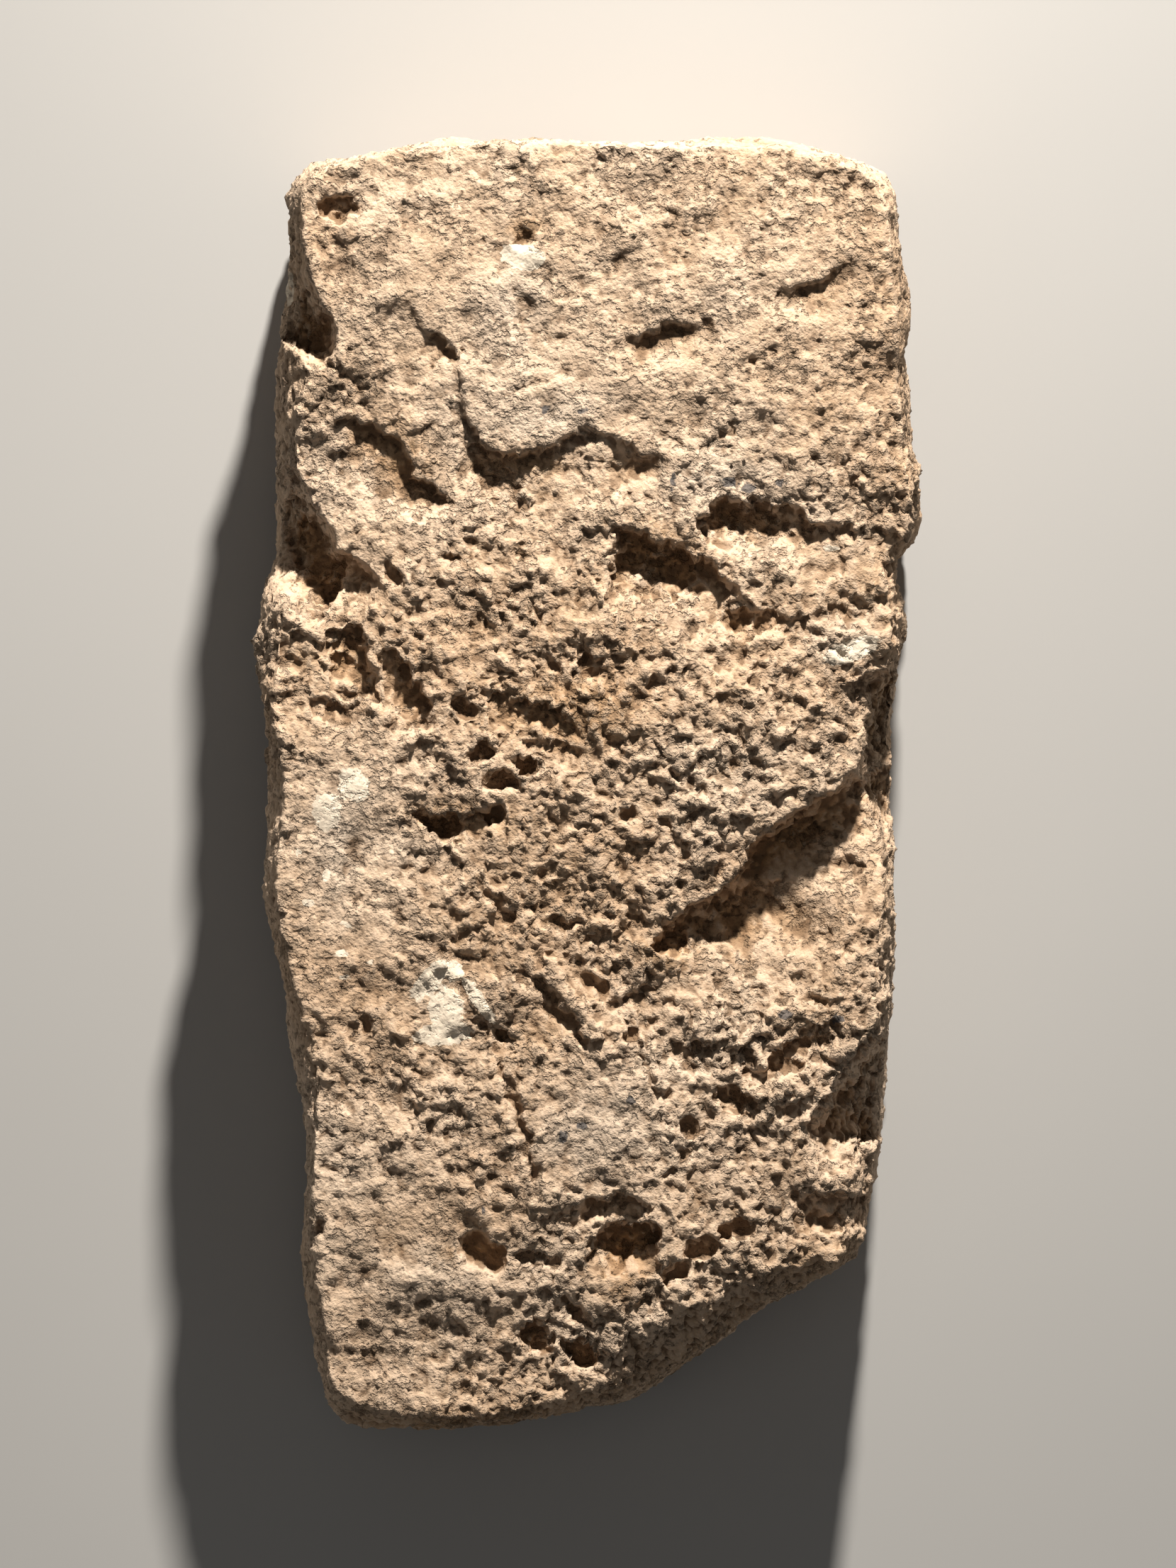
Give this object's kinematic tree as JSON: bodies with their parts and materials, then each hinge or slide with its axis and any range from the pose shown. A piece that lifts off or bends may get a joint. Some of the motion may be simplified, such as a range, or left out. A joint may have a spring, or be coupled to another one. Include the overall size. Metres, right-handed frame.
{
  "type": "limestone stele",
  "caption": "Thick worn limestone slab with a broken slanting foot and nearly erased relief on its front, lying on its back.",
  "frame": {"origin": "centre of the box around the slab, on the flat back that it lies on", "axes": "+Z out of the carved front, +Y to the top of the stele, +X to the right of the front"},
  "size_m": [0.478, 0.925, 0.205],
  "materials": {
    "limestone": "rough, grainy, weathered warm beige limestone with ochre in its hollows"
  },
  "bodies": {
    "root": {"stele": "limestone"}
  },
  "joints": []
}
